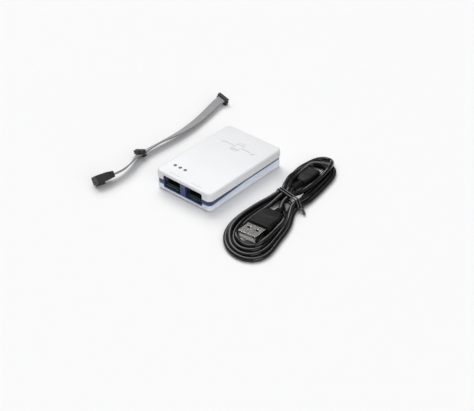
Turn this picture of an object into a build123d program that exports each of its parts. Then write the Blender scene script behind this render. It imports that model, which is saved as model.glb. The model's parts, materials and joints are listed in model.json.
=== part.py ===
"""USB microcontroller programmer: a small two-shell pod with its USB lead and its ribbon lead.

Millimetres. The origin is the centre of the pod's base, +Z up. The two programming ports face -Y,
the USB socket faces +Y. Both leads lie unplugged on the surface that the pod stands on.
"""
from build123d import *
import math
import os

os.makedirs("parts", exist_ok=True)

# ---- pod ------------------------------------------------------------------------------------
CASE_WIDTH = 45.0
CASE_LENGTH = 69.2
CASE_HEIGHT = 13.5
CORNER_RADIUS = 3.4
WALL = 1.6
FLOOR_THICKNESS = 1.4
ROOF_THICKNESS = 1.4
TOP_EDGE_ROUND = 1.5
BOTTOM_EDGE_ROUND = 1.1
FOOT_HEIGHT = 0.6
FOOT_RADIUS = 3.4
FOOT_RECESS = 0.3
BAND_BOTTOM = 4.5
BAND_TOP = 8.2
BAND_RECESS = 0.5
LOWER_INSET = 0.2
INNER_WIDTH = CASE_WIDTH - 2 * WALL
INNER_LENGTH = CASE_LENGTH - 2 * WALL
INNER_RADIUS = CORNER_RADIUS - WALL
FRONT = -CASE_LENGTH / 2
REAR = CASE_LENGTH / 2

# ---- ports ----------------------------------------------------------------------------------
PORT_OFFSET = 8.8
PORT_WIDTH = 13.4
PORT_HEIGHT = 7.7
PORT_CENTRE_Z = 7.25
FRAME_WIDTH = 32.0
FRAME_HEIGHT = 8.8
FRAME_RECESS = 0.3
FRAME_DEPTH = 1.9
SHROUD_WIDTH = 12.7
SHROUD_HEIGHT = 5.4
SHROUD_DEPTH = 5.6
SHROUD_WALL_X = 1.05
SHROUD_WALL_Z = 0.5
SHROUD_FRONT = -32.2
PIN_PITCH = 1.27
PIN_SIZE = 0.4
PIN_TIP = -29.6

# ---- board ----------------------------------------------------------------------------------
BOARD_BOTTOM = 3.6
BOARD_THICKNESS = 1.6
BOARD_TOP = BOARD_BOTTOM + BOARD_THICKNESS
BOARD_WIDTH = 40.8
BOARD_LENGTH = 63.6
BOSS_X = 18.2
BOSS_Y = 29.4
BOSS_RADIUS = 2.2
SCREW_RADIUS = 0.95
SCREW_HEAD_RADIUS = 1.9
SCREW_CLEARANCE = 0.05
LED_X = (-15.8, -11.6, -7.4)
LED_Y = -23.7
PIPE_RADIUS = 1.1

# ---- USB lead -------------------------------------------------------------------------------
CORD_DIAMETER = 3.0
STACK_HEIGHT = 6.2
TIE_CENTRE = (51.0, 5.5)
TIE_YAW = -10.0
TIE_HALF_WIDTH = 10.8
TIE_WIRE = 1.0
TIE_BAND = 3.4
LOWER_LOBE = (((59.3, -39.7), 18.0), ((54.2, -22.0), 16.5), ((51.0, -1.0), 11.5))
LOWER_OPENING = (((57.7, -36.6), 9.3), ((55.0, -13.0), 7.2))
UPPER_LOBE = (((51.0, 5.5), 12.0), ((46.8, 32.0), 13.5), ((43.6, 50.5), 10.3))
UPPER_OPENING = (((46.8, 15.2), 2.9), ((45.8, 28.0), 5.3), ((45.3, 41.5), 5.2))

PLUG_A_FRONT = (57.0, -31.6, 4.7)
PLUG_A_TURN = (-4.0, 0.0, 6.0)
PLUG_B_FRONT = (45.4, 38.6, 3.3)
PLUG_B_TURN = (0.0, 0.0, 183.0)
A_GRIP_WIDTH = 15.2
A_GRIP_THICKNESS = 7.2
A_GRIP_LENGTH = 19.0
A_SHELL_WIDTH = 12.0
A_SHELL_THICKNESS = 4.5
A_SHELL_OUT = 11.0
A_SHELL_IN = 5.0
A_WINDOW_X = 3.0
A_WINDOW_Y = -4.8
A_SHEET = 0.3
B_GRIP_WIDTH = 9.0
B_GRIP_THICKNESS = 6.0
B_GRIP_LENGTH = 15.5
B_RELIEF_LENGTH = 10.0
B_SHELL_WIDTH = 6.8
B_SHELL_THICKNESS = 1.85
B_SHELL_OUT = 6.2
B_SHELL_IN = 3.0
B_SHEET = 0.25

# ---- ribbon lead ----------------------------------------------------------------------------
RIBBON_WIDTH = 6.35
RIBBON_THICKNESS = 0.9
# Stations along the ribbon's centre line: x, y, z and the tilt of its width in degrees.
PROBE_SEAT = (-58.2, 69.3, 4.25, -17.0)
RIBBON_TO_MIDDLE = (
    (-57.9, 61.9, 3.5, -8.0),
    (-55.5, 50.7, 2.9, -2.0),
    (-53.3, 40.0, 2.7, 4.0),
    (-51.7, 28.3, 2.8, 11.0),
    (-51.1, 17.8, 3.0, 20.0),
    (-51.5, 8.6, 3.3, 29.0),
    (-52.1, 0.0, 3.6, 36.0),
    (-52.6, -9.0, 3.4, 32.0),
)
MIDDLE_SEAT = (-52.5, -17.7, 3.06, 22.0)
RIBBON_TO_TARGET = (
    (-49.8, -26.4, 4.1, 50.0),
    (-47.6, -33.5, 4.2, 52.0),
    (-46.7, -39.8, 4.4, 47.0),
    (-46.8, -44.1, 4.6, 43.0),
)
TARGET_SEAT = (-47.7, -47.7, 4.7, 40.0)
PROBE_LENGTH = 8.8
PROBE_DEPTH = 2.8
PROBE_BODY_HEIGHT = 2.6
PROBE_CAP_HEIGHT = 1.1
WELL_FLOOR = 0.6
CONTACT_HEIGHT = 1.5
TARGET_WIDTH = 7.8
TARGET_THICKNESS = 5.1
TARGET_BODY_LENGTH = 8.2
TARGET_CAP_LENGTH = 4.4
TARGET_PITCH = 2.54

NODES = {}


# ---- helpers --------------------------------------------------------------------------------
def save(name, shape):
    """Write one sub-part and keep it for the parts that are cut to fit it."""
    NODES[name] = shape
    export_step(shape, f"parts/{name}.step")


def block(x_range, y_range, z_range):
    """A box between two coordinates on each axis."""
    size = [high - low for low, high in (x_range, y_range, z_range)]
    centre = [(high + low) / 2 for low, high in (x_range, y_range, z_range)]
    return Pos(*centre) * Box(*size)


def centred_block(x, y, z_low, width, length, height):
    """A box standing at z_low over the point x, y."""
    return Pos(x, y, z_low + height / 2) * Box(width, length, height)


def rounded_slab(width, length, radius, z_low, z_high):
    """A plate with rounded vertical corners."""
    return Pos(0, 0, z_low) * extrude(RectangleRounded(width, length, radius), z_high - z_low)


def rod(x, y, radius, z_low, z_high):
    """An upright cylinder."""
    return Pos(x, y, (z_low + z_high) / 2) * Cylinder(radius, z_high - z_low)


def boss_places():
    """The four screw positions."""
    return [(x, y) for x in (-BOSS_X, BOSS_X) for y in (-BOSS_Y, BOSS_Y)]


def front_panel(width, height, radius, y_low, y_high):
    """A rounded panel that stands upright across the pod's front, centred on the ports."""
    face = Plane.XZ * RectangleRounded(width, height, radius)
    return Pos(0, y_high, PORT_CENTRE_Z) * extrude(face, y_high - y_low)


def group(solids):
    """Several separate solids kept in one node."""
    return Compound(children=list(solids))


# ---- pod shells -----------------------------------------------------------------------------
def frame_notch():
    """The room that the two shells leave for the port frame."""
    return front_panel(FRAME_WIDTH + 0.2, FRAME_HEIGHT + 0.2, 1.3, FRONT - 1, FRONT + FRAME_RECESS + FRAME_DEPTH + 0.1)


def chip_mark():
    """A raised pictogram of a chip with a trace on each side."""
    z_low = CASE_HEIGHT - 0.05
    centre_y = 17.5
    mark = centred_block(0, centre_y, z_low, 6.4, 6.4, 0.3)
    mark -= centred_block(0, centre_y, z_low, 4.4, 4.4, 1.0)
    for step in (-2, 0, 2):
        mark += centred_block(step, centre_y + 4.1, z_low, 0.6, 2.0, 0.3)
        mark += centred_block(step, centre_y - 4.1, z_low, 0.6, 2.0, 0.3)
    for side in (-1, 1):
        mark += centred_block(side * 7.2, centre_y, z_low, 8.0, 0.8, 0.3)
        mark += rod(side * 12.2, centre_y, 1.5, z_low, z_low + 0.3)
    return mark


def make_top_cover():
    outer = rounded_slab(CASE_WIDTH, CASE_LENGTH, CORNER_RADIUS, BAND_TOP, CASE_HEIGHT)
    outer = fillet(outer.edges().group_by(Axis.Z)[-1], TOP_EDGE_ROUND)
    cover = outer - rounded_slab(INNER_WIDTH, INNER_LENGTH, INNER_RADIUS, BAND_TOP - 1, CASE_HEIGHT - ROOF_THICKNESS)
    for x, y in boss_places():
        cover += rod(x, y, BOSS_RADIUS, BOARD_TOP, CASE_HEIGHT - ROOF_THICKNESS + 0.2)
        cover -= rod(x, y, SCREW_RADIUS + SCREW_CLEARANCE, BOARD_TOP - 1, CASE_HEIGHT - ROOF_THICKNESS - 1)
    cover -= frame_notch()
    for x in LED_X:
        cover -= rod(x, LED_Y, PIPE_RADIUS + SCREW_CLEARANCE, BAND_TOP, CASE_HEIGHT + 1)
    cover += chip_mark()
    for side in (-1, 1):
        cover += centred_block(side * PORT_OFFSET, FRONT + 3.4, CASE_HEIGHT - 0.05, 8.0, 0.9, 0.2)
    save("top_cover", cover)


def make_bottom_cover():
    width = CASE_WIDTH - 2 * LOWER_INSET
    length = CASE_LENGTH - 2 * LOWER_INSET
    outer = rounded_slab(width, length, CORNER_RADIUS - LOWER_INSET, FOOT_HEIGHT, BAND_BOTTOM)
    outer = fillet(outer.edges().group_by(Axis.Z)[0], BOTTOM_EDGE_ROUND)
    floor_top = FOOT_HEIGHT + FLOOR_THICKNESS
    cover = outer - rounded_slab(INNER_WIDTH, INNER_LENGTH, INNER_RADIUS, floor_top, BAND_BOTTOM + 1)
    for x, y in boss_places():
        cover += rod(x, y, BOSS_RADIUS + 0.3, floor_top - 0.2, BOARD_BOTTOM)
        cover -= rod(x, y, SCREW_RADIUS + 0.2, 0, BOARD_BOTTOM + 1)
        cover -= rod(x, y, SCREW_HEAD_RADIUS + 0.15, 0, FOOT_HEIGHT + 1.1)
    cover -= frame_notch()
    for x, y in foot_places():
        cover -= rod(x, y, FOOT_RADIUS + 0.1, 0, FOOT_HEIGHT + FOOT_RECESS)
    save("bottom_cover", cover)


def foot_places():
    """The four rubber feet."""
    return [(x, y) for x in (-15.0, 15.0) for y in (-22.0, 22.0)]


def make_light_band():
    """The clear blue ring between the shells, in one piece with the frame round the ports."""
    inset = 2 * BAND_RECESS
    band = rounded_slab(CASE_WIDTH - inset, CASE_LENGTH - inset, CORNER_RADIUS - BAND_RECESS, BAND_BOTTOM, BAND_TOP)
    band -= rounded_slab(INNER_WIDTH, INNER_LENGTH, INNER_RADIUS, BAND_BOTTOM - 1, BAND_TOP + 1)
    band += front_panel(FRAME_WIDTH, FRAME_HEIGHT, 1.2, FRONT + FRAME_RECESS, FRONT + FRAME_RECESS + FRAME_DEPTH)
    for side in (-1, 1):
        opening = front_panel(PORT_WIDTH, PORT_HEIGHT, 0.6, FRONT - 1, FRONT + 4)
        band -= Pos(side * PORT_OFFSET, 0, 0) * opening
    band -= block((-4.1, 4.1), (REAR - 4, REAR + 1), (BOARD_TOP - 0.25, BAND_TOP - 0.15))
    save("light_band", band)


def make_fasteners_and_feet():
    screws = []
    for x, y in boss_places():
        head = rod(x, y, SCREW_HEAD_RADIUS, FOOT_HEIGHT + 0.2, FOOT_HEIGHT + 1.1)
        shank = rod(x, y, SCREW_RADIUS, FOOT_HEIGHT + 1.0, 10.6)
        cross = centred_block(x, y, FOOT_HEIGHT, 1.9, 0.45, 0.7) + centred_block(x, y, FOOT_HEIGHT, 0.45, 1.9, 0.7)
        screws.append(head + shank - cross)
    save("cover_screws", group(screws))
    feet = [rod(x, y, FOOT_RADIUS, 0, FOOT_HEIGHT + FOOT_RECESS) for x, y in foot_places()]
    save("rubber_feet", group(feet))
    save("base_label", centred_block(0, 0, FOOT_HEIGHT - 0.15, 22, 26, 0.15))


# ---- board and what is on it ------------------------------------------------------------------
def make_board():
    board = rounded_slab(BOARD_WIDTH, BOARD_LENGTH, 2.4, BOARD_BOTTOM, BOARD_TOP)
    for x, y in boss_places():
        board -= rod(x, y, SCREW_RADIUS + 0.2, 0, BOARD_TOP + 1)
    save("circuit_board", board)


def port_pins(centre_x):
    """Ten right-angle pins: two rows of five, each bent down to the board."""
    pins = []
    middle_z = BOARD_TOP + SHROUD_HEIGHT / 2
    for row in (0, 1):
        z = middle_z + (row - 0.5) * PIN_PITCH
        back = -26.0 + row
        for column in range(5):
            x = centre_x + (column - 2) * PIN_PITCH
            pin = block((x - PIN_SIZE / 2, x + PIN_SIZE / 2), (PIN_TIP, back), (z - PIN_SIZE / 2, z + PIN_SIZE / 2))
            pin += block((x - PIN_SIZE / 2, x + PIN_SIZE / 2), (back - PIN_SIZE, back), (BOARD_TOP, z))
            pins.append(pin)
    return pins


def make_port(name, side):
    centre_x = side * PORT_OFFSET
    back = SHROUD_FRONT + SHROUD_DEPTH
    half = SHROUD_WIDTH / 2
    shroud = block((centre_x - half, centre_x + half), (SHROUD_FRONT, back), (BOARD_TOP, BOARD_TOP + SHROUD_HEIGHT))
    inner = half - SHROUD_WALL_X
    inner_low = BOARD_TOP + SHROUD_WALL_Z
    inner_high = BOARD_TOP + SHROUD_HEIGHT - SHROUD_WALL_Z
    shroud -= block((centre_x - inner, centre_x + inner), (SHROUD_FRONT - 1, back - 1.0), (inner_low, inner_high))
    shroud -= block((centre_x - 1.1, centre_x + 1.1), (SHROUD_FRONT - 1, back - 2.0), (inner_high - 0.1, inner_high + 1))
    pins = port_pins(centre_x)
    for pin in pins:
        shroud -= pin
    save(f"{name}_port_shroud", shroud)
    save(f"{name}_port_pins", group(pins))


def make_usb_socket():
    low = BOARD_TOP
    high = BOARD_TOP + 2.6
    mouth = REAR - 1.0
    back = mouth - 5.4
    shell = block((-3.75, 3.75), (back, mouth), (low, high))
    shell -= block((-3.5, 3.5), (back + 0.3, mouth + 1), (low + 0.25, high - 0.25))
    save("usb_socket_shell", shell)
    tongue = block((-1.95, 1.95), (back + 0.3, mouth - 0.8), (high - 1.1, high - 0.5))
    tongue += block((-3.4, 3.4), (back + 0.3, back + 1.5), (low + 0.3, high - 0.3))
    save("usb_socket_tongue", tongue)
    contacts = [centred_block(0.65 * step, mouth - 2.4, high - 1.25, 0.3, 2.8, 0.15) for step in range(-2, 3)]
    save("usb_socket_contacts", group(contacts))


def chip_leads(x, y, half_body, count, pitch, sides):
    """Short flat leads along two or four sides of a chip."""
    leads = []
    for index in range(count):
        along = (index - (count - 1) / 2) * pitch
        for side in (-1, 1):
            out = side * (half_body + 0.5)
            if "x" in sides:
                leads.append(centred_block(x + out, y + along, BOARD_TOP, 0.98, 0.24, 0.3))
            if "y" in sides:
                leads.append(centred_block(x + along, y + out, BOARD_TOP, 0.24, 0.98, 0.3))
    return leads


def make_chips():
    save("main_controller", centred_block(2.0, -4.0, BOARD_TOP + 0.1, 10.0, 10.0, 1.3))
    save("controller_leads", group(chip_leads(2.0, -4.0, 5.0, 16, 0.5, "xy")))
    shifters = []
    leads = []
    for x in (-11.0, 0.0, 11.0):
        shifters.append(centred_block(x, -18.4, BOARD_TOP + 0.1, 4.4, 5.0, 1.0))
        leads += chip_leads(x, -18.4, 2.2, 7, 0.65, "x")
    save("level_shifters", group(shifters))
    save("shifter_leads", group(leads))
    save("crystal", fillet(centred_block(-7.6, -4.0, BOARD_TOP, 3.2, 5.0, 1.2).edges().filter_by(Axis.Z), 0.5))
    regulator = centred_block(12.0, 17.0, BOARD_TOP, 3.5, 6.5, 1.6) + centred_block(15.0, 17.0, BOARD_TOP, 2.6, 3.0, 0.3)
    save("voltage_regulator", regulator)
    save("power_inductor", fillet(centred_block(-11.0, 16.0, BOARD_TOP, 5.0, 5.0, 2.4).edges().filter_by(Axis.Z), 1.2))


def make_small_parts():
    capacitors = [centred_block(-4.0 + 3.0 * step, 6.6, BOARD_TOP, 1.3, 2.0, 1.2) for step in range(5)]
    capacitors += [centred_block(-4.6, 14.0 + 3.2 * step, BOARD_TOP, 3.2, 1.7, 1.6) for step in range(3)]
    capacitors += [centred_block(5.4, 14.0 + 3.2 * step, BOARD_TOP, 3.2, 1.7, 1.6) for step in range(3)]
    save("capacitors", group(capacitors))
    resistors = [centred_block(-14.4 + 2.2 * step, 2.0, BOARD_TOP, 0.9, 1.7, 0.5) for step in range(4)]
    resistors += [centred_block(11.0 + 2.0 * step, -6.0, BOARD_TOP, 0.9, 1.7, 0.5) for step in range(4)]
    save("resistors", group(resistors))
    save("status_leds", group([centred_block(x, LED_Y, BOARD_TOP, 1.6, 1.0, 0.7) for x in LED_X]))
    roof_inside = CASE_HEIGHT - ROOF_THICKNESS
    pipes = block((LED_X[0] - 1.4, LED_X[-1] + 1.4), (LED_Y - 1.4, LED_Y + 1.4), (roof_inside - 0.8, roof_inside))
    for x in LED_X:
        pipes += rod(x, LED_Y, PIPE_RADIUS, BOARD_TOP + 1.0, CASE_HEIGHT + 0.05)
    save("light_pipes", pipes)


# ---- USB lead -------------------------------------------------------------------------------
def lobe(circles, z_low, z_high):
    """The outer shape of a bundle of turns: the hull round a few circles, made upright."""
    curves = Curve() + [Pos(x, y) * CenterArc((0, 0), radius, 0, 360) for (x, y), radius in circles]
    return Pos(0, 0, z_low) * extrude(make_hull(curves.edges()), z_high - z_low)


def at_tie(shape):
    """Place a shape that was made about the tie's centre."""
    return Pos(TIE_CENTRE[0], TIE_CENTRE[1], 0) * Rot(0, 0, TIE_YAW) * shape


def make_hank_and_tie():
    upper = lobe(UPPER_LOBE, 0, STACK_HEIGHT) - lobe(UPPER_OPENING, -1, STACK_HEIGHT + 1)
    lower = lobe(LOWER_LOBE, 0, STACK_HEIGHT)
    hank = lower + upper - lobe(LOWER_OPENING, -1, STACK_HEIGHT + 1)
    top = TIE_WIRE + 4.6
    core = block((-TIE_HALF_WIDTH, TIE_HALF_WIDTH), (-TIE_BAND, TIE_BAND), (TIE_WIRE, top))
    slot = block((-15, 15), (-TIE_BAND / 2, TIE_BAND / 2), (-1, STACK_HEIGHT + 1)) - core
    hank -= at_tie(slot)
    save("usb_cord_hank", hank)
    outside = TIE_HALF_WIDTH + TIE_WIRE
    tie = block((-outside, outside), (-TIE_BAND / 2, TIE_BAND / 2), (0, top + TIE_WIRE))
    tie -= core
    tie += block((outside, outside + 2.2), (-0.8, 0.8), (1.2, 3.2))
    save("cord_tie", at_tie(tie))


def make_plug_a():
    place = Pos(*PLUG_A_FRONT) * Rot(*PLUG_A_TURN)
    front = Plane.XZ * RectangleRounded(A_GRIP_WIDTH, A_GRIP_THICKNESS, 1.7)
    straight = A_GRIP_LENGTH * 0.6
    grip = Pos(0, straight, 0) * extrude(front, straight)
    rear = Plane.XZ * RectangleRounded(A_GRIP_WIDTH * 0.68, A_GRIP_THICKNESS * 0.86, 1.7)
    grip += loft([Pos(0, straight, 0) * front, Pos(0, A_GRIP_LENGTH, 0) * rear])
    half_width = A_SHELL_WIDTH / 2
    half_height = A_SHELL_THICKNESS / 2
    envelope = block((-half_width, half_width), (-A_SHELL_OUT, A_SHELL_IN), (-half_height, half_height))
    save("usb_a_overmould", place * (grip - envelope))
    bore = block(
        (A_SHEET - half_width, half_width - A_SHEET),
        (-A_SHELL_OUT - 1, A_SHELL_IN - 0.5),
        (A_SHEET - half_height, half_height - A_SHEET),
    )
    shell = envelope - bore
    for side in (-1, 1):
        shell -= centred_block(side * A_WINDOW_X, A_WINDOW_Y, -4, 2.4, 2.0, 8)
    save("usb_a_shell", place * shell)
    tongue = block(
        (0.1 + A_SHEET - half_width, half_width - A_SHEET - 0.1),
        (0.6 - A_SHELL_OUT, A_SHELL_IN - 0.6),
        (A_SHEET - half_height, -0.2),
    )
    save("usb_a_tongue", place * tongue)
    contacts = []
    for x, start in ((-3.5, 1.2), (-1.0, 2.2), (1.0, 2.2), (3.5, 1.2)):
        contacts.append(block((x - 0.5, x + 0.5), (start - A_SHELL_OUT, 2.0), (-0.2, -0.05)))
    save("usb_a_contacts", place * group(contacts))
    relief = Pos(0, A_GRIP_LENGTH + 3.0, 0) * Rot(-90, 0, 0) * Cone(2.9, 2.1, 6.0)
    save("usb_a_strain_relief", place * relief)


def micro_profile(inset):
    """The micro-B shell's outline: flat top, lower corners cut back."""
    half_width = B_SHELL_WIDTH / 2 - inset
    half_height = B_SHELL_THICKNESS / 2 - inset
    corner = 0.75
    points = [
        (-half_width, half_height),
        (half_width, half_height),
        (half_width, 0),
        (half_width - corner, -half_height),
        (corner - half_width, -half_height),
        (-half_width, 0),
    ]
    return Plane.XZ * make_face(Polyline(*points, close=True))


def make_plug_b():
    place = Pos(*PLUG_B_FRONT) * Rot(*PLUG_B_TURN)
    front = Plane.XZ * RectangleRounded(B_GRIP_WIDTH, B_GRIP_THICKNESS, 1.8)
    straight = B_GRIP_LENGTH * 0.6
    grip = Pos(0, straight, 0) * extrude(front, straight)
    rear = Plane.XZ * RectangleRounded(B_GRIP_WIDTH * 0.66, B_GRIP_THICKNESS * 0.84, 1.8)
    grip += loft([Pos(0, straight, 0) * front, Pos(0, B_GRIP_LENGTH, 0) * rear])
    envelope = Pos(0, B_SHELL_IN, 0) * extrude(micro_profile(0), B_SHELL_IN + B_SHELL_OUT)
    save("micro_b_overmould", place * (grip - envelope))
    bore = Pos(0, B_SHELL_IN - 0.3, 0) * extrude(micro_profile(B_SHEET), B_SHELL_IN + B_SHELL_OUT)
    save("micro_b_shell", place * (envelope - bore))
    tongue = block((-1.7, 1.7), (0.5 - B_SHELL_OUT, B_SHELL_IN - 0.4), (-0.5, 0.15))
    save("micro_b_tongue", place * tongue)
    relief = Cone(2.4, 1.8, B_RELIEF_LENGTH)
    relief = Pos(0, B_GRIP_LENGTH + B_RELIEF_LENGTH / 2, 0) * Rot(-90, 0, 0) * relief
    save("micro_b_strain_relief", place * relief)


# ---- ribbon lead ----------------------------------------------------------------------------
def ribbon_plane(station, before, after):
    """The plane across the ribbon at a station: x along its width, y along its thickness."""
    heading = (Vector(*after[:3]) - Vector(*before[:3])).normalized()
    level = heading.cross(Vector(0, 0, 1)).normalized() * -1
    rise = heading.cross(level).normalized()
    if rise.Z < 0:
        rise = rise * -1
    tilt = math.radians(station[3])
    width = level * math.cos(tilt) + rise * math.sin(tilt)
    return Plane(origin=station[:3], x_dir=width, z_dir=heading)


def seat_frames():
    """A level, straight seat for each crimped connector: its two ends, in ribbon order."""
    half = PROBE_DEPTH / 2
    x, y, z, tilt = PROBE_SEAT
    probe = ((x, y + half, z, tilt), (x, y - half, z, tilt))
    x, y, z, tilt = MIDDLE_SEAT
    middle = ((x, y + half, z, tilt), (x, y - half, z, tilt))
    return probe, middle


def make_ribbon():
    probe, middle = seat_frames()
    stations = [*probe, *RIBBON_TO_MIDDLE, *middle, *RIBBON_TO_TARGET, TARGET_SEAT]
    count = len(stations)
    straight_ends = {0: (0, 1), 1: (0, 1)}
    first_middle = 2 + len(RIBBON_TO_MIDDLE)
    straight_ends[first_middle] = (first_middle, first_middle + 1)
    straight_ends[first_middle + 1] = (first_middle, first_middle + 1)
    sections = []
    length = 0.0
    for index, station in enumerate(stations):
        low, high = straight_ends.get(index, (max(index - 1, 0), min(index + 1, count - 1)))
        plane = ribbon_plane(station, stations[low], stations[high])
        sections.append(plane * Rectangle(RIBBON_WIDTH, RIBBON_THICKNESS))
        if index:
            length += (Vector(*station[:3]) - Vector(*stations[index - 1][:3])).length
    ribbon = loft(sections, ruled=True)
    print(f"ribbon length {length:.1f}, volume {ribbon.volume:.1f}")
    print(f"section times length {length * RIBBON_WIDTH * RIBBON_THICKNESS:.1f}")
    save("ribbon_cable", ribbon)


def crimp_connector(name, seat, body_side):
    """A ten-way crimped socket: the body on one face of the ribbon, the cap on the other."""
    seat_x, seat_y, seat_z, tilt = seat
    place = Pos(seat_x, seat_y, seat_z) * Rot(0, -tilt, 0)
    half_ribbon = RIBBON_THICKNESS / 2
    height = PROBE_BODY_HEIGHT
    body = Box(PROBE_LENGTH, PROBE_DEPTH, height)
    contacts = []
    for row in (-0.5, 0.5):
        for column in range(-2, 3):
            x = column * PIN_PITCH
            y = row * PIN_PITCH
            body -= centred_block(x, y, WELL_FLOOR - height / 2, 0.62, 0.62, height)
            contacts.append(centred_block(x, y, WELL_FLOOR - height / 2, 0.34, 0.34, CONTACT_HEIGHT))
    body += Pos(0, -PROBE_DEPTH / 2 - 0.35, 0.6) * Box(2.0, 0.7, height - 1.2)
    cap = Box(PROBE_LENGTH - 0.3, PROBE_DEPTH, PROBE_CAP_HEIGHT)
    cap = fillet(cap.edges().filter_by(Axis.X), 0.35)
    if body_side < 0:
        body = Rot(180, 0, 0) * body
        contacts = [Rot(180, 0, 0) * contact for contact in contacts]
    shift = body_side * (half_ribbon + height / 2)
    save(f"{name}_connector_body", place * (Pos(0, 0, shift) * body))
    save(f"{name}_connector_contacts", place * group([Pos(0, 0, shift) * contact for contact in contacts]))
    cap_shift = -body_side * (half_ribbon + PROBE_CAP_HEIGHT / 2)
    save(f"{name}_connector_cap", place * (Pos(0, 0, cap_shift) * cap))


def make_target_connector():
    """The six-way socket at the target end. It points on along the ribbon's last run."""
    plane = ribbon_plane(TARGET_SEAT, RIBBON_TO_TARGET[-1], TARGET_SEAT)
    front = TARGET_CAP_LENGTH + TARGET_BODY_LENGTH
    rear = RectangleRounded(TARGET_WIDTH * 0.90, TARGET_THICKNESS * 0.78, 0.6)
    cap = loft([rear, Pos(0, 0, TARGET_CAP_LENGTH) * RectangleRounded(TARGET_WIDTH, TARGET_THICKNESS, 0.6)])
    body = extrude(RectangleRounded(TARGET_WIDTH, TARGET_THICKNESS, 0.3), TARGET_BODY_LENGTH)
    body = Pos(0, 0, TARGET_CAP_LENGTH) * body
    key_length = 5.6
    key_y = -TARGET_THICKNESS / 2 - 0.65
    body += Pos(0, key_y, front - key_length / 2) * Box(3.4, 1.4, key_length)
    contacts = []
    for column in range(-1, 2):
        for row in (-0.5, 0.5):
            x = column * TARGET_PITCH
            y = row * TARGET_PITCH
            body -= Pos(x, y, front - 3.0) * Box(0.95, 0.95, 6.2)
            contacts.append(Pos(x, y, front - 3.6) * Box(0.6, 0.6, 4.6))
    location = plane.location
    save("target_connector_cap", location * cap)
    save("target_connector_body", location * body)
    save("target_connector_contacts", location * group(contacts))


make_top_cover()
make_bottom_cover()
make_light_band()
make_fasteners_and_feet()
make_board()
make_port("left", -1)
make_port("right", 1)
make_usb_socket()
make_chips()
make_small_parts()
make_hank_and_tie()
make_plug_a()
make_plug_b()
make_ribbon()
crimp_connector("probe", PROBE_SEAT, -1)
crimp_connector("middle", MIDDLE_SEAT, 1)
make_target_connector()
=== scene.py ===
"""The looks of a USB microcontroller programmer and its two leads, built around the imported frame."""
import json
import math

import bmesh
import bpy
import numpy as np
from mathutils import Matrix, Vector


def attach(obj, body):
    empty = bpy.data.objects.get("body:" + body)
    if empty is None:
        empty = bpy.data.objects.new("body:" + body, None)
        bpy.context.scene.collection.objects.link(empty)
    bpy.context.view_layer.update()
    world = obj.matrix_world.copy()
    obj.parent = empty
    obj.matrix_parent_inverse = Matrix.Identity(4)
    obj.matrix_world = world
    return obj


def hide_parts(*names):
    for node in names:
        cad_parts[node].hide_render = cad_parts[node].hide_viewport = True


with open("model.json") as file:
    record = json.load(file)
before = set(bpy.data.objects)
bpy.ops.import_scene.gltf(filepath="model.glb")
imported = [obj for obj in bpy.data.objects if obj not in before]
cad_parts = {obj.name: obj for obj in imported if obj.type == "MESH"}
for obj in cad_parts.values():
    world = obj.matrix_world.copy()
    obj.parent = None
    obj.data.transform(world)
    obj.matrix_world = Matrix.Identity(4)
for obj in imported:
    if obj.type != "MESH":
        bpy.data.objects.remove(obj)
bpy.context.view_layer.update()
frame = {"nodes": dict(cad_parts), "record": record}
MM = 0.001
# Two faces that meet at more degrees than this make a sharp edge.
SHARP_ANGLE = 40.0
CIRCLE_SIDES = 24

# ---- camera, floor and light --------------------------------------------------------------------
# Distances are in metres and angles in degrees. The lens and its sensor are in millimetres.
CAMERA_AZIMUTH = 40.66
CAMERA_ELEVATION = 35.75
CAMERA_DISTANCE = 0.670
CAMERA_TARGET = (0.0288, -0.0170, 0.0)
CAMERA_LENS = 83.6
CAMERA_SENSOR = 36.0
FLOOR_HALF_SIZE = 3.0
FLOOR_COLOUR = (0.90, 0.90, 0.90)
# Name, bearing from +X, height above the horizon, strength and spread.
SUNS = (
    ("key", 150.0, 53.0, 1.85, 46.0),
    ("fill", -15.0, 20.0, 1.15, 50.0),
)
WORLD_STRENGTH = 0.66
WORLD_BLUE = 1.01
# Brightness of the studio against the sine of the height above the horizon.
WORLD_STOPS = ((0.0, 0.22), (0.50, 0.28), (0.80, 0.95), (1.0, 1.25))

# ---- USB lead, millimetres ----------------------------------------------------------------------
CORD_DIAMETER = 3.0
CORD_STEP = 3.0
TIE_CENTRE = Vector((51.0, 5.5, 0.0))
TIE_YAW = math.radians(-10.0)
TIE_LIFT = 1.0
TIE_WIRE = 0.9
TIE_PITCH = 1.9
TIE_TURNS = 2
# The wire's two twisted ends: how far they turn, how thick the twist is, and how they run from the bundle.
TAIL_TWIST = math.radians(620.0)
TAIL_LEAN = 0.55
TAIL_GAP = 0.7
TAIL_LENGTH = 4.3
TAIL_SWEEP = 1.4
TAIL_DROP = 1.3
TAIL_LOWEST = 1.3
LAYER_RISE = 2.65
PLUG_A_FRONT = (57.0, -31.6, 4.7)
PLUG_A_TURN = (-4.0, 0.0, 6.0)
PLUG_B_FRONT = (45.4, 38.6, 3.3)
PLUG_B_TURN = (0.0, 0.0, 183.0)
A_GRIP_LENGTH = 18.7
A_RELIEF_END = 25.0
B_GRIP_LENGTH = 15.2
B_RELIEF_END = 25.5
# The grips' finger grooves: spacing, half-widths at lip and floor, and the grip's width there as a share.
GROOVE_PITCH = 1.3
GROOVE_LIP = 0.42
GROOVE_FLOOR = 0.28
GROOVE_SHARE = 0.95
RELIEF_GROOVE = 0.42
# Places across the tie in the order in which the cord passes it: offset and layer.
TIE_SLOTS = (
    (0.3, 1), (-8.6, 0), (9.2, 0), (-7.1, 1), (7.7, 1), (-5.6, 0), (6.2, 0), (-4.1, 1), (-2.6, 0),
)
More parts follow.
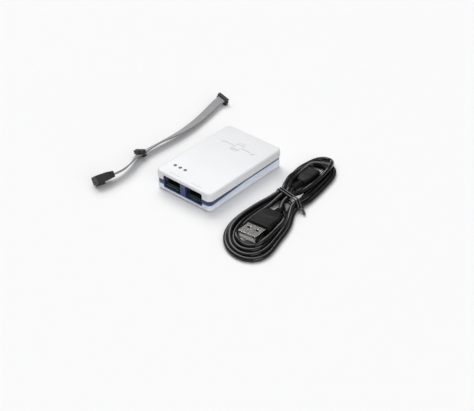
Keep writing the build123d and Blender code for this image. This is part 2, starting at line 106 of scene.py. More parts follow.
# The upper loop's passes, each up on the right, round the end and down on the left: x, y, z.
UPPER_PASSES = (
    (
        (53.4, 14, 4.4), (53.8, 24, 4.6), (53.2, 32, 5.0), (52.0, 40, 5.6), (49.6, 48, 5.6),
        (46.4, 55.6, 4.6), (41.8, 59.4, 3.2), (37.4, 56.0, 1.9), (35.0, 48, 1.5), (34.9, 37, 1.5),
        (36.6, 25, 1.5), (38.8, 14, 1.5),
    ),
    (
        (60.0, 14, 1.5), (59.8, 24, 1.5), (58.4, 33, 1.5), (56.2, 42.5, 1.5), (52.8, 49.8, 1.5),
        (47.6, 53.8, 1.5), (42.2, 52.4, 2.4), (38.0, 46, 3.6), (36.9, 37, 4.2), (38.0, 26, 4.2),
        (40.2, 15, 4.2),
    ),
    (
        (57.6, 14, 3.6), (56.6, 25, 1.8), (54.9, 36, 1.5), (52.9, 44.5, 1.5), (48.4, 50.4, 1.5),
        (43.0, 50.0, 1.5), (39.2, 45.0, 1.5), (38.4, 37, 1.5), (39.6, 25, 1.5), (41.6, 14, 1.5),
    ),
    (
        (55.6, 14, 1.5), (53.8, 25, 1.5), (52.3, 36, 1.5), (50.8, 42.5, 1.5), (47.8, 46.9, 1.5),
        (44.2, 47.6, 2.4), (41.2, 44.2, 3.8), (39.9, 37, 4.4), (40.8, 26, 4.5), (43.4, 14, 4.6),
    ),
)
# The lower loop's passes, each down on the left, round the end and up on the right.
LOWER_PASSES = (
    (
        (39.4, -10, 1.5), (38.7, -24, 1.5), (40.4, -37.6, 1.5), (46.6, -48.0, 1.5), (55.8, -54.6, 1.5),
        (65.6, -56.7, 1.5), (73.6, -52.2, 1.5), (75.4, -43, 1.5), (71.7, -30, 1.5), (66.8, -17, 1.5),
        (62.8, -6, 1.5),
    ),
    (
        (41.2, -10, 4.3), (40.0, -24, 4.2), (42.0, -37, 4.0), (47.0, -46.2, 3.2), (54.4, -51.8, 1.8),
        (63.0, -53.9, 1.5), (69.8, -49.4, 1.5), (71.6, -40, 1.5), (68.6, -29, 1.5), (64.2, -16, 2.6),
        (60.6, -5, 4.2),
    ),
    (
        (42.4, -11, 1.5), (42.2, -26, 1.5), (45.2, -38.6, 1.5), (51.8, -47.2, 1.5), (59.8, -50.4, 1.5),
        (66.2, -46.4, 1.5), (67.9, -38, 1.5), (65.6, -28, 1.5), (61.8, -16, 1.5), (59.0, -6, 1.5),
    ),
    (
        (44.4, -8, 4.5), (44.4, -22, 3.6), (45.4, -32, 3.0), (48.6, -41.0, 3.0), (55.0, -46.6, 3.4),
        (62.2, -47.0, 4.0), (67.0, -41.0, 4.2), (67.0, -32, 4.2), (63.4, -20, 4.2), (58.4, -9, 3.4),
        (53.2, -1.6, 1.8),
    ),
)

# How the cord comes to rest: a fall in millimetres, and the share of each misfit that a round puts right.
SETTLE_ROUNDS = 220
LENGTH_PASSES = 3
FALL = 0.04
STRAIGHTEN = 0.03
EVEN_BENDS = 0.20
KEEP_LENGTH = 0.4
KEEP_APART = 0.35
KEEP_ROUTE = 0.05
# What stays put: the cord in the tie and a few points at each end. A few more may lie in a plug's box.
TIE_HOLD_RADIUS = 13.0
TIE_HOLD_ALONG = 3.0
HELD_END_POINTS = 3
PLUG_END_POINTS = 6

# ---- ribbon lead, millimetres -------------------------------------------------------------------
RIBBON_WIDTH = 6.35
RIBBON_CORES = 10
RIBBON_WEB = 0.17
RIBBON_CORE_RISE = 0.28
RIBBON_SHARP_ANGLE = 75.0
# The last core is painted darker: the pin-one mark, and painted shade along the ribbon's near edge.
PIN_ONE_SHADE_CORE = "pin_one_shade_core"
# Stations along the ribbon's middle line, as in part.py: x, y, z and the tilt of its width in degrees.
RIBBON_ROUTE = (
    (-58.2, 70.7, 4.25, -17.0),
    (-58.2, 67.9, 4.25, -17.0),
    (-57.9, 61.9, 3.5, -8.0),
    (-55.5, 50.7, 2.9, -2.0),
    (-53.3, 40.0, 2.7, 4.0),
    (-51.7, 28.3, 2.8, 11.0),
    (-51.1, 17.8, 3.0, 20.0),
    (-51.5, 8.6, 3.3, 29.0),
    (-52.1, 0.0, 3.6, 36.0),
    (-52.6, -9.0, 3.4, 32.0),
    (-52.5, -16.3, 3.06, 22.0),
    (-52.5, -19.1, 3.06, 22.0),
    (-49.8, -26.4, 4.1, 50.0),
    (-47.6, -33.5, 4.2, 52.0),
    (-46.7, -39.8, 4.4, 47.0),
    (-46.8, -44.1, 4.6, 43.0),
    (-47.7, -47.7, 4.7, 40.0),
)


def rotation(turn):
    """The turn of a plug, from degrees about X, Y and Z as part.py gives them."""
    turned = Matrix.Identity(3)
    for degrees, axis in zip(turn, "XYZ"):
        turned = turned @ Matrix.Rotation(math.radians(degrees), 3, axis)
    return turned


def on_plug(front, turn, local):
    """A point given in a plug's own frame."""
    return Vector(front) + rotation(turn) @ Vector(local)


def at_tie(across, along, height):
    """A point given about the tie's centre."""
    right = Vector((math.cos(TIE_YAW), math.sin(TIE_YAW), 0.0))
    forward = Vector((-math.sin(TIE_YAW), math.cos(TIE_YAW), 0.0))
    return TIE_CENTRE + right * across + forward * along + Vector((0, 0, height))


def layer_height(layer):
    """The height of the cord's middle in a layer of the bundle."""
    return CORD_DIAMETER / 2 + TIE_LIFT + layer * LAYER_RISE


def tie_point(offset, layer, along):
    """A place in the tie: across the bundle, by layer, and along it."""
    return at_tie(offset, along, layer_height(layer))


def tie_passage(index, upward):
    """Three points straight through the tie."""
    offset, layer = TIE_SLOTS[index]
    steps = (-4.0, 0.0, 4.0) if upward else (4.0, 0.0, -4.0)
    return [tie_point(offset, layer, step) for step in steps]


def hank_route():
    """The whole USB cord as a coarse route: tail, four turns, tail."""
    route = [
        on_plug(PLUG_A_FRONT, PLUG_A_TURN, (0, A_RELIEF_END - 2.0, 0)),
        on_plug(PLUG_A_FRONT, PLUG_A_TURN, (0, A_RELIEF_END + 1.0, 0)),
        tie_point(1.6, 1, -7.0),
    ]
    route += tie_passage(0, True)[1:]
    for turn, (upper, lower) in enumerate(zip(UPPER_PASSES, LOWER_PASSES)):
        route += [*upper, *tie_passage(2 * turn + 1, False)]
        route += [*lower, *tie_passage(2 * turn + 2, True)]
    route.append(on_plug(PLUG_B_FRONT, PLUG_B_TURN, (0, B_RELIEF_END + 1.0, 0)))
    route.append(on_plug(PLUG_B_FRONT, PLUG_B_TURN, (0, B_RELIEF_END - 2.0, 0)))
    return route


def evenly(points, step):
    """The same line as points a step apart."""
    line = np.array(points)
    gaps = np.linalg.norm(np.diff(line, axis=0), axis=1)
    travelled = np.concatenate([[0.0], np.cumsum(gaps)])
    count = max(2, round(travelled[-1] / step)) + 1
    places = np.linspace(0.0, travelled[-1], count)
    return np.stack([np.interp(places, travelled, line[:, axis]) for axis in range(3)], axis=1)


def nurbs_curve(name, points, radius=0.0, resolution=4):
    """A NURBS curve object whose control points are the given points, in millimetres."""
    data = bpy.data.curves.new(name, "CURVE")
    data.dimensions = "3D"
    data.resolution_u = resolution
    data.bevel_depth = radius * MM
    data.bevel_resolution = 6
    data.use_fill_caps = True
    spline = data.splines.new("NURBS")
    spline.points.add(len(points) - 1)
    for target, point in zip(spline.points, points):
        target.co = (point[0] * MM, point[1] * MM, point[2] * MM, 1.0)
    spline.order_u = 3
    spline.use_endpoint_u = True
    obj = bpy.data.objects.new(name, data)
    bpy.context.collection.objects.link(obj)
    return obj


def smooth_line(points, resolution=4):
    """Points along the curve of the given control points, in millimetres."""
    guide = nurbs_curve("guide", points, resolution=resolution)
    mesh = bpy.data.meshes.new_from_object(guide)
    line = [vertex.co / MM for vertex in mesh.vertices]
    bpy.data.meshes.remove(mesh)
    bpy.data.objects.remove(guide)
    return line


def plug_box(front, turn, low, high):
    """A plug's grip or shell as a box that the cord can't enter, in the plug's own frame."""
    margin = CORD_DIAMETER / 2
    return np.array(front), np.array(rotation(turn)), np.array(low) - margin, np.array(high) + margin


def push_out(points, box, skip):
    """Moves points out of a box, through its left, its right or its top, whichever is nearest."""
    origin, turn, low, high = box
    front, underside, rear = 1, 2, 4
    local = (points - origin) @ turn
    inside = np.all((local > low) & (local < high), axis=1) & ~skip
    for index in np.nonzero(inside)[0]:
        room = np.concatenate([local[index] - low, high - local[index]])
        room[[front, underside, rear]] = np.inf
        side = int(np.argmin(room))
        local[index, side % 3] = low[side] if side < 3 else high[side - 3]
    points[inside] = local[inside] @ turn.T + origin


def bend_move(points):
    """The move of each point that evens out the cord's bends."""
    move = np.zeros_like(points)
    bow = (points[:-2] + points[2:]) / 2 - points[1:-1]
    move[1:-1] = STRAIGHTEN * bow
    move[2:-2] -= EVEN_BENDS * (bow[:-2] - 2 * bow[1:-1] + bow[2:])
    return move


def length_move(points, rest):
    """The move that brings each step of the cord back to its own length."""
    delta = points[1:] - points[:-1]
    length = np.linalg.norm(delta, axis=1, keepdims=True)
    shift = delta * (KEEP_LENGTH * (length - rest) / length)
    move = np.zeros_like(points)
    move[:-1] += shift
    move[1:] -= shift
    return move


def apart_move(points, gap, pairs):
    """The move that keeps two stretches of cord from passing through each other."""
    offset = points[:, None, :] - points[None, :, :]
    distance = np.linalg.norm(offset, axis=2) + 1e-9
    near = pairs & (distance < gap)
    weight = np.where(near, (gap - distance) / distance * KEEP_APART, 0.0)
    return (offset * weight[:, :, None]).sum(axis=1)


def held_points(points):
    """True for the points inside the tie and for a few at each end."""
    from_tie = points[:, :2] - np.array(TIE_CENTRE)[:2]
    along = from_tie @ np.array((-math.sin(TIE_YAW), math.cos(TIE_YAW)))
    held = (np.linalg.norm(from_tie, axis=1) < TIE_HOLD_RADIUS) & (np.abs(along) < TIE_HOLD_ALONG)
    held[:HELD_END_POINTS] = True
    held[-HELD_END_POINTS:] = True
    return held


def settle(points, boxes):
    """Lets the cord come to rest on the floor at its own length, clear of itself and of the plugs."""
    index = np.arange(len(points))
    rest = np.linalg.norm(np.diff(points, axis=0), axis=1).mean()
    pairs = np.abs(index[:, None] - index[None, :]) > math.ceil(CORD_DIAMETER / rest) + 1
    held = held_points(points)
    free = (~held)[:, None]
    skipped = held | (index < PLUG_END_POINTS) | (index >= len(points) - PLUG_END_POINTS)
    laid = points.copy()
    for _ in range(SETTLE_ROUNDS):
        points = points - free * (0, 0, FALL)
        points += free * bend_move(points)
        points += free * (laid - points) * (KEEP_ROUTE, KEEP_ROUTE, 0.0)
        for _ in range(LENGTH_PASSES):
            points += free * length_move(points, rest)
        points += free * apart_move(points, CORD_DIAMETER, pairs)
        for box in boxes:
            push_out(points, box, skipped)
        points[:, 2] = np.maximum(points[:, 2], CORD_DIAMETER / 2)
    return points


def plug_boxes():
    """The boxes of both plugs that the cord lies against."""
    return [
        plug_box(PLUG_A_FRONT, PLUG_A_TURN, (-7.6, -0.5, -3.6), (7.6, 12.5, 3.6)),
        plug_box(PLUG_A_FRONT, PLUG_A_TURN, (-6.2, 12.5, -3.4), (6.2, 18.5, 3.4)),
        plug_box(PLUG_A_FRONT, PLUG_A_TURN, (-6.0, -11.0, -2.3), (6.0, 0.0, 2.3)),
        plug_box(PLUG_B_FRONT, PLUG_B_TURN, (-4.5, -0.5, -3.0), (4.5, 15.5, 3.0)),
        plug_box(PLUG_B_FRONT, PLUG_B_TURN, (-3.4, -6.2, -1.0), (3.4, 0.0, 1.0)),
        plug_box(PLUG_B_FRONT, PLUG_B_TURN, (-2.0, 15.5, -2.0), (2.0, B_RELIEF_END - 3.0, 2.0)),
    ]


def make_usb_cord():
    """The USB cord: four loose turns, tied in the middle, with a plug on each end."""
    points = settle(evenly(smooth_line(hank_route()), CORD_STEP), plug_boxes())
    return nurbs_curve("usb_cord", points, CORD_DIAMETER / 2), points


# ---- material helpers ---------------------------------------------------------------------------
# The part of a noise pattern's range that it really fills.
NOISE_LOW = 0.30
NOISE_HIGH = 0.70
# A Mix node has sockets for every kind of value. These are its colour ones.
MIX_FIRST = 6
MIX_SECOND = 7
MIX_RESULT = 2


def new_material(name, colour, roughness, metallic=0.0):
    """A plain material, for the functions below to add to."""
    material = bpy.data.materials.new(name)
    material.use_nodes = True
    shader = shader_of(material)
    shader.inputs["Base Color"].default_value = (*colour, 1.0)
    shader.inputs["Roughness"].default_value = roughness
    shader.inputs["Metallic"].default_value = metallic
    return material


def shader_of(material):
    """The material's surface shader."""
    return material.node_tree.nodes["Principled BSDF"]


def add_node(material, kind, **values):
    """A node with the given socket values. An underscore stands for a space in a socket's name."""
    node = material.node_tree.nodes.new(kind)
    for name, value in values.items():
        node.inputs[name.replace("_", " ")].default_value = value
    return node


def link(material, source, target):
    """Joins an output to an input."""
    material.node_tree.links.new(source, target)


def map_range(material, source, **limits):
    """A value carried from one range to another and held inside it."""
    spread = add_node(material, "ShaderNodeMapRange", **limits)
    link(material, source, spread.inputs["Value"])
    return spread.outputs["Result"]


def maths(material, operation, *terms):
    """The result of an operation on outputs and plain numbers."""
    node = add_node(material, "ShaderNodeMath")
    node.operation = operation
    for target, term in zip(node.inputs, terms):
        if isinstance(term, float):
            target.default_value = term
        else:
            link(material, term, target)
    return node.outputs["Value"]


def object_axes(material):
    """The place on the object as separate X, Y and Z outputs, in metres."""
    place = add_node(material, "ShaderNodeTexCoord")
    split = add_node(material, "ShaderNodeSeparateXYZ")
    link(material, place.outputs["Object"], split.inputs["Vector"])
    return split.outputs


def noise(material, scale, detail, stretch=(1.0, 1.0, 1.0)):
    """A noise pattern fixed to the object. The scale is in lumps per metre."""
    place = add_node(material, "ShaderNodeTexCoord")
    mapping = add_node(material, "ShaderNodeMapping", Scale=stretch)
    texture = add_node(material, "ShaderNodeTexNoise", Scale=scale, Detail=detail)
    link(material, place.outputs["Object"], mapping.inputs["Vector"])
    link(material, mapping.outputs["Vector"], texture.inputs["Vector"])
    return texture.outputs["Fac"]


def set_stops(ramp, stops):
    """Gives a colour ramp node its stops, each a position and a colour."""
    elements = ramp.color_ramp.elements
    while len(elements) < len(stops):
        elements.new(0.5)
    for element, (position, colour) in zip(elements, stops):
        element.position = position
        element.color = (*colour, 1.0)


def colour_ramp(material, source, stops):
    """A colour read off a ramp."""
    ramp = add_node(material, "ShaderNodeValToRGB")
    set_stops(ramp, stops)
    link(material, source, ramp.inputs["Fac"])
    return ramp.outputs["Color"]


def mix_colours(material, factor, colour, flat):
    """A colour that turns into a flat one as the factor rises from nought to one."""
    mix = add_node(material, "ShaderNodeMix")
    mix.data_type = "RGBA"
    mix.inputs[MIX_SECOND].default_value = (*flat, 1.0)
    link(material, factor, mix.inputs["Factor"])
    link(material, colour, mix.inputs[MIX_FIRST])
    return mix.outputs[MIX_RESULT]


def paint(material, colour):
    """Makes an output the material's colour."""
    link(material, colour, shader_of(material).inputs["Base Color"])


def patches(material, low, high, scale):
    """A slow, patchy drift between two close colours."""
    return colour_ramp(material, noise(material, scale, 4.0), ((NOISE_LOW, low), (NOISE_HIGH, high)))


def vary_colour(material, low, high, scale):
    """Paints the material in patches of two close colours."""
    paint(material, patches(material, low, high, scale))


def painted_light_drift(material, rear, front):
    """Painted light: a slow drift along the pod from a darker colour at the rear to a lighter one at the
    front, broken up by soft patches.
    """
    reach = {"From_Min": 0.040, "From_Max": -0.015, "To_Min": -0.15, "To_Max": 0.65}
    along = map_range(material, object_axes(material)["Y"], **reach)
    lumps = maths(material, "MULTIPLY", noise(material, 60.0, 4.0), 0.5)
    drift = maths(material, "ADD", along, lumps)
    paint(material, colour_ramp(material, drift, ((0.0, rear), (1.0, front))))


def vary_roughness(material, low, high, scale, stretch=(1.0, 1.0, 1.0)):
    """Handling marks: patches that are a little smoother or duller."""
    lumps = noise(material, scale, 5.0, stretch)
    spread = map_range(material, lumps, From_Min=NOISE_LOW, From_Max=NOISE_HIGH, To_Min=low, To_Max=high)
    link(material, spread, shader_of(material).inputs["Roughness"])


def add_bump(material, scale, height, strength=1.0, stretch=(1.0, 1.0, 1.0), edge=0.0):
    """A fine relief in metres, on edges that look rounded by the given radius."""
    bump = add_node(material, "ShaderNodeBump", Strength=strength, Distance=height)
    link(material, noise(material, scale, 3.0, stretch), bump.inputs["Height"])
    if edge:
        bevel = add_node(material, "ShaderNodeBevel", Radius=edge)
        link(material, bevel.outputs["Normal"], bump.inputs["Normal"])
    link(material, bump.outputs["Normal"], shader_of(material).inputs["Normal"])


def wear_and_highlight_edges(material, radius, base, wear_and_highlight, full=0.45):
    """Rubbed corners on some parts and painted highlights on others: the colour turns towards a worn or
    highlight colour where the surface bends sharply.
    """
    bevel = add_node(material, "ShaderNodeBevel", Radius=radius)
    geometry = add_node(material, "ShaderNodeNewGeometry")
    likeness = add_node(material, "ShaderNodeVectorMath")
    likeness.operation = "DOT_PRODUCT"
    link(material, bevel.outputs["Normal"], likeness.inputs[0])
    link(material, geometry.outputs["Normal"], likeness.inputs[1])
    reach = {"From_Min": 0.97, "From_Max": 0.80, "To_Min": 0.0, "To_Max": 0.6}
    corners = map_range(material, likeness.outputs["Value"], **reach)
    worn_and_lit_edges = maths(material, "MULTIPLY", corners, noise(material, 900.0, 4.0))
    paint(material, colour_ramp(material, worn_and_lit_edges, ((0.0, base), (full, wear_and_highlight))))


# ---- materials ----------------------------------------------------------------------------------
def top_shell():
    """White ABS with a fine spark-eroded grain."""
    material = new_material("top_shell", (0.785, 0.79, 0.80), 0.36)
    # Painted light: the top is painted darker at the rear and lighter at the front.
    painted_light_drift(material, (0.70, 0.70, 0.705), (0.81, 0.82, 0.835))
    vary_roughness(material, 0.30, 0.42, 140.0)
    add_bump(material, 2600.0, 0.00002, 0.5, edge=0.0002)
    return material


def base_shell():
    """Milky, faintly blue plastic that lets some light in."""
    material = new_material("base_shell", (0.84, 0.88, 0.96), 0.22)
    vary_colour(material, (0.81, 0.855, 0.95), (0.87, 0.905, 0.97), 90.0)
    vary_roughness(material, 0.16, 0.30, 160.0)
    add_bump(material, 1800.0, 0.00002, 0.35, edge=0.0002)
    shader = shader_of(material)
    shader.inputs["Subsurface Weight"].default_value = 0.25
    shader.inputs["Subsurface Radius"].default_value = (0.6, 0.8, 1.0)
    shader.inputs["Subsurface Scale"].default_value = 0.002
    return material


def painted_band_shade(material, axes):
    """How far up the clear band's painted shade a place is: shade painted under the cover's edge. It
    reaches deeper towards the front.
    """
    height = map_range(material, axes["Z"], From_Min=0.0045, From_Max=0.0082, To_Max=0.8)
    forward = map_range(material, axes["Y"], From_Min=0.0, From_Max=-0.033, To_Max=0.40)
    return maths(material, "ADD", height, forward)


def port_frame_mask(material, axes):
    """One on the frame round the ports, nought on the rest of the band."""
    across = maths(material, "ABSOLUTE", axes["X"])
    inside = map_range(material, across, From_Min=0.0163, From_Max=0.0158)
    front = map_range(material, axes["Y"], From_Min=-0.0318, From_Max=-0.0322)
    return maths(material, "MULTIPLY", inside, front)


def clear_blue():
    """The clear tinted band with painted light and shade: painted navy shade under the cover's edge,
    painted pale light below, where light comes in.
    """
    material = new_material("clear_blue", (0.10, 0.17, 0.36), 0.10)
    axes = object_axes(material)
    # Painted shade and light: the ramp runs from pale painted light low on the band to navy painted shade
    # under the cover's edge.
    stops = (
        (0.0, (0.80, 0.86, 0.96)),
        (0.38, (0.66, 0.75, 0.91)),
        (0.47, (0.16, 0.22, 0.40)),
        (0.55, (0.030, 0.055, 0.18)),
        (0.95, (0.009, 0.020, 0.09)),
    )
    band = colour_ramp(material, painted_band_shade(material, axes), stops)
    paint(material, mix_colours(material, port_frame_mask(material, axes), band, (0.030, 0.055, 0.17)))
    vary_roughness(material, 0.05, 0.16, 300.0)
    add_bump(material, 700.0, 0.00002, 0.3, edge=0.0001)
    return material


def pipe_smoke():
    """Smoked clear plastic over an unlit lamp."""
    material = new_material("pipe_smoke", (0.02, 0.02, 0.021), 0.14)
    vary_colour(material, (0.014, 0.014, 0.015), (0.026, 0.026, 0.027), 1500.0)
    vary_roughness(material, 0.10, 0.22, 2000.0)
    add_bump(material, 2500.0, 0.00001, 0.3)
    return material


def screw_steel():
    """Zinc-plated screw heads, rubbed at their rims."""
    material = new_material("screw_steel", (0.62, 0.62, 0.63), 0.3, 1.0)
    wear_and_highlight_edges(material, 0.0002, (0.50, 0.51, 0.52), (0.80, 0.80, 0.80))
    vary_roughness(material, 0.22, 0.45, 1500.0)
    add_bump(material, 3000.0, 0.00002, 0.6)
    return material


def foot_rubber():
    """Matt dark grey rubber."""
    material = new_material("foot_rubber", (0.2, 0.2, 0.21), 0.85)
    vary_colour(material, (0.16, 0.16, 0.17), (0.24, 0.24, 0.25), 500.0)
    vary_roughness(material, 0.75, 0.95, 900.0)
    add_bump(material, 4000.0, 0.00004, 0.8)
    return material


def label_film():
    """A blank satin label."""
    material = new_material("label_film", (0.8, 0.8, 0.8), 0.5)
    vary_colour(material, (0.74, 0.74, 0.745), (0.82, 0.82, 0.82), 120.0)
    vary_roughness(material, 0.42, 0.6, 400.0)
    add_bump(material, 1200.0, 0.00001, 0.5)
    return material


def board_green():
    """Solder mask over copper tracks."""
    material = new_material("board_green", (0.01, 0.06, 0.04), 0.3)
    place = add_node(material, "ShaderNodeTexCoord")
    tracks = add_node(material, "ShaderNodeTexBrick", Scale=260.0, Mortar_Size=0.12)
    link(material, place.outputs["Object"], tracks.inputs["Vector"])
    stops = ((0.2, (0.007, 0.045, 0.028)), (0.8, (0.014, 0.085, 0.048)))
    paint(material, colour_ramp(material, tracks.outputs["Fac"], stops))
    vary_roughness(material, 0.2, 0.38, 700.0)
    add_bump(material, 1500.0, 0.00002, 0.4)
    return material


def connector_black():
    """Glass-filled black nylon."""
    material = new_material("connector_black", (0.014, 0.014, 0.016), 0.45)
    wear_and_highlight_edges(material, 0.00025, (0.012, 0.012, 0.014), (0.08, 0.08, 0.08))
    vary_roughness(material, 0.34, 0.58, 600.0)
    add_bump(material, 5000.0, 0.00003, 0.6, edge=0.0002)
    return material


def contact_gold():
    """Gold flash on the pins and contacts."""
    material = new_material("contact_gold", (0.83, 0.62, 0.26), 0.24, 1.0)
    vary_colour(material, (0.74, 0.53, 0.20), (0.90, 0.70, 0.34), 1200.0)
    vary_roughness(material, 0.16, 0.34, 2000.0)
    add_bump(material, 3000.0, 0.00001, 0.4)
    return material


def plug_steel():
    """Nickel-plated sheet, drawn along its length."""
    material = new_material("plug_steel", (0.30, 0.29, 0.28), 0.24, 1.0)
    # Painted highlight: the rims turn near white, standing in for light caught on the sheet's edges.
    wear_and_highlight_edges(material, 0.00045, (0.25, 0.245, 0.235), (1.0, 0.99, 0.97), 0.12)
    vary_roughness(material, 0.16, 0.34, 500.0, (6.0, 1.0, 6.0))
    add_bump(material, 900.0, 0.00001, 0.5, (8.0, 0.6, 8.0), edge=0.00015)
    return material


def socket_insert():
    """The dark tongue of the small plug and of its socket."""
    material = new_material("socket_insert", (0.05, 0.05, 0.055), 0.4)
    vary_colour(material, (0.04, 0.04, 0.045), (0.065, 0.065, 0.07), 900.0)
    vary_roughness(material, 0.3, 0.5, 1200.0)
    add_bump(material, 3000.0, 0.00001, 0.5)
    return material


def plug_insert():
    """The white tongue in the plug's mouth."""
    material = new_material("plug_insert", (0.84, 0.84, 0.82), 0.38)
    vary_colour(material, (0.79, 0.79, 0.76), (0.87, 0.87, 0.85), 500.0)
    vary_roughness(material, 0.3, 0.46, 900.0)
    add_bump(material, 2500.0, 0.00001, 0.4)
    return material


def chip_black():
    """Matt moulded plastic of the chips and the inductor."""
    material = new_material("chip_black", (0.03, 0.03, 0.033), 0.6)
    vary_colour(material, (0.024, 0.024, 0.027), (0.04, 0.04, 0.043), 700.0)
    vary_roughness(material, 0.5, 0.7, 1500.0)
    add_bump(material, 6000.0, 0.00002, 0.6)
    return material


def lead_tin():
    """Tinned leads and small parts with metal ends."""
    material = new_material("lead_tin", (0.7, 0.7, 0.71), 0.35, 1.0)
    vary_colour(material, (0.62, 0.62, 0.64), (0.78, 0.78, 0.78), 2000.0)
    vary_roughness(material, 0.25, 0.5, 2500.0)
    add_bump(material, 4000.0, 0.00001, 0.5)
    return material


def capacitor_tan():
    """Fired ceramic."""
    material = new_material("capacitor_tan", (0.5, 0.38, 0.26), 0.5)
    vary_colour(material, (0.44, 0.33, 0.22), (0.56, 0.44, 0.31), 900.0)
    vary_roughness(material, 0.4, 0.6, 1500.0)
    add_bump(material, 4000.0, 0.00001, 0.5)
    return material


def led_body():
    """The pale, slightly yellow body of a lamp on the board."""
    material = new_material("led_body", (0.85, 0.8, 0.6), 0.15)
    vary_colour(material, (0.8, 0.75, 0.52), (0.9, 0.86, 0.68), 1500.0)
    vary_roughness(material, 0.08, 0.25, 2500.0)
    add_bump(material, 2500.0, 0.00001, 0.3)
    return material


def cord_black():
    """Smooth, slightly rippled PVC jacket."""
    material = new_material("cord_black", (0.002, 0.002, 0.0022), 0.16)
    vary_colour(material, (0.002, 0.002, 0.0022), (0.005, 0.005, 0.0055), 220.0)
    vary_roughness(material, 0.05, 0.14, 350.0)
    add_bump(material, 450.0, 0.00006, 0.6)
    shader_of(material).inputs["Specular IOR Level"].default_value = 0.40
    return material


def grip_black():
    """Satin moulded PVC with a fine texture."""
    material = new_material("grip_black", (0.006, 0.006, 0.0065), 0.5)
    vary_colour(material, (0.0045, 0.0045, 0.005), (0.009, 0.009, 0.010), 300.0)
    vary_roughness(material, 0.42, 0.6, 500.0)
    add_bump(material, 3500.0, 0.00003, 0.6)
    shader_of(material).inputs["Specular IOR Level"].default_value = 0.16
    return material


def ribbon_grey():
    """Extruded grey insulation. The core for pin one is painted a darker grey, both as its mark and as
    painted shade along the ribbon's near edge.
    """
    material = new_material("ribbon_grey", (0.34, 0.34, 0.345), 0.42)
    plain = patches(material, (0.31, 0.31, 0.315), (0.38, 0.38, 0.385), 180.0)
    pin_one_shade = add_node(material, "ShaderNodeAttribute")
    pin_one_shade.attribute_name = PIN_ONE_SHADE_CORE
    paint(material, mix_colours(material, pin_one_shade.outputs["Fac"], plain, (0.20, 0.20, 0.203)))
    vary_roughness(material, 0.34, 0.5, 500.0)
    add_bump(material, 2500.0, 0.00002, 0.5)
    return material


def tie_plastic():
    """The coated wire of the tie, a little greyer than the cord."""
    material = new_material("tie_plastic", (0.06, 0.06, 0.062), 0.20)
    vary_colour(material, (0.045, 0.045, 0.047), (0.075, 0.075, 0.078), 400.0)
    vary_roughness(material, 0.12, 0.26, 700.0)
    add_bump(material, 1500.0, 0.00003, 0.5)
    return material


MAKERS = (
    top_shell, base_shell, clear_blue, pipe_smoke, screw_steel, foot_rubber, label_film, board_green,
    connector_black, contact_gold, plug_steel, socket_insert, plug_insert, chip_black, lead_tin,
    capacitor_tan, led_body, cord_black, grip_black, ribbon_grey, tie_plastic,
)
MATERIALS = {maker.__name__: maker() for maker in MAKERS}


def paint_nodes():
    """Gives each CAD node the material of its slot. The light pipes have a smoked look of their own."""
    look_of = {part["node"]: part["material_slot"] for part in frame["record"]["subparts"]}
    look_of["light_pipes"] = "pipe_smoke"
    for name, node in frame["nodes"].items():
        node.data.materials.clear()
        node.data.materials.append(MATERIALS[look_of[name]])


def bevel_nodes():
    """Breaks the sharp edges of moulded and folded pieces. The widths are in millimetres."""
    widths = {"usb_a_shell": 0.12, "micro_b_shell": 0.08}
    for name in frame["nodes"]:
        if name.endswith(("_connector_body", "_connector_cap")):
            widths[name] = 0.22
    for name, width in widths.items():
        bevel = frame["nodes"][name].modifiers.new("edges", "BEVEL")
        bevel.width = width * MM
        bevel.segments = 2
        bevel.limit_method = "ANGLE"
        bevel.angle_limit = math.radians(SHARP_ANGLE)
        bevel.harden_normals = False


def place_piece(obj, body, slot, replaced, material=None):
    """Gives a piece its body and its material, the slot's own unless another is named, and hides the CAD
    nodes that it stands for.
    """
    obj.data.materials.append(MATERIALS[material or slot])
    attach(obj, body)
    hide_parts(*replaced)


# ---- meshes -------------------------------------------------------------------------------------
def mesh_object(name, mesh, smooth_angle=SHARP_ANGLE):
    """A mesh object from a bmesh, smooth but for its sharp edges."""
    bmesh.ops.recalc_face_normals(mesh, faces=mesh.faces)
    for edge in mesh.edges:
        edge.smooth = len(edge.link_faces) == 2 and edge.calc_face_angle(0.0) < math.radians(smooth_angle)
    for face in mesh.faces:
        face.smooth = True
    data = bpy.data.meshes.new(name)
    mesh.to_mesh(data)
    mesh.free()
    obj = bpy.data.objects.new(name, data)
    bpy.context.collection.objects.link(obj)
    return obj


def skin(name, rings, smooth_angle=SHARP_ANGLE):
    """A closed skin through rings of points in metres, with flat ends."""
    mesh = bmesh.new()
    made = [[mesh.verts.new(point) for point in ring] for ring in rings]
    count = len(made[0])
    for first, second in zip(made, made[1:]):
        for index in range(count):
            following = (index + 1) % count
            mesh.faces.new((first[index], first[following], second[following], second[index]))
    mesh.faces.new(made[0][::-1])
    mesh.faces.new(made[-1])
    return mesh_object(name, mesh, smooth_angle)


def circle(radius):
    """Points round a circle."""
    angles = [2 * math.pi * index / CIRCLE_SIDES for index in range(CIRCLE_SIDES)]
    return [(radius * math.cos(angle), radius * math.sin(angle)) for angle in angles]


def rounded_section(half_width, half_height, corner, steps=6):
    """A rounded rectangle as points, anticlockwise."""
    points = []
    corners = ((1, 1, 0), (-1, 1, 90), (-1, -1, 180), (1, -1, 270))
    for side_x, side_z, start in corners:
        for step in range(steps + 1):
            angle = math.radians(start + 90 * step / steps)
            x = side_x * (half_width - corner) + corner * math.cos(angle)
            z = side_z * (half_height - corner) + corner * math.sin(angle)
            points.append((x, z))
    return points


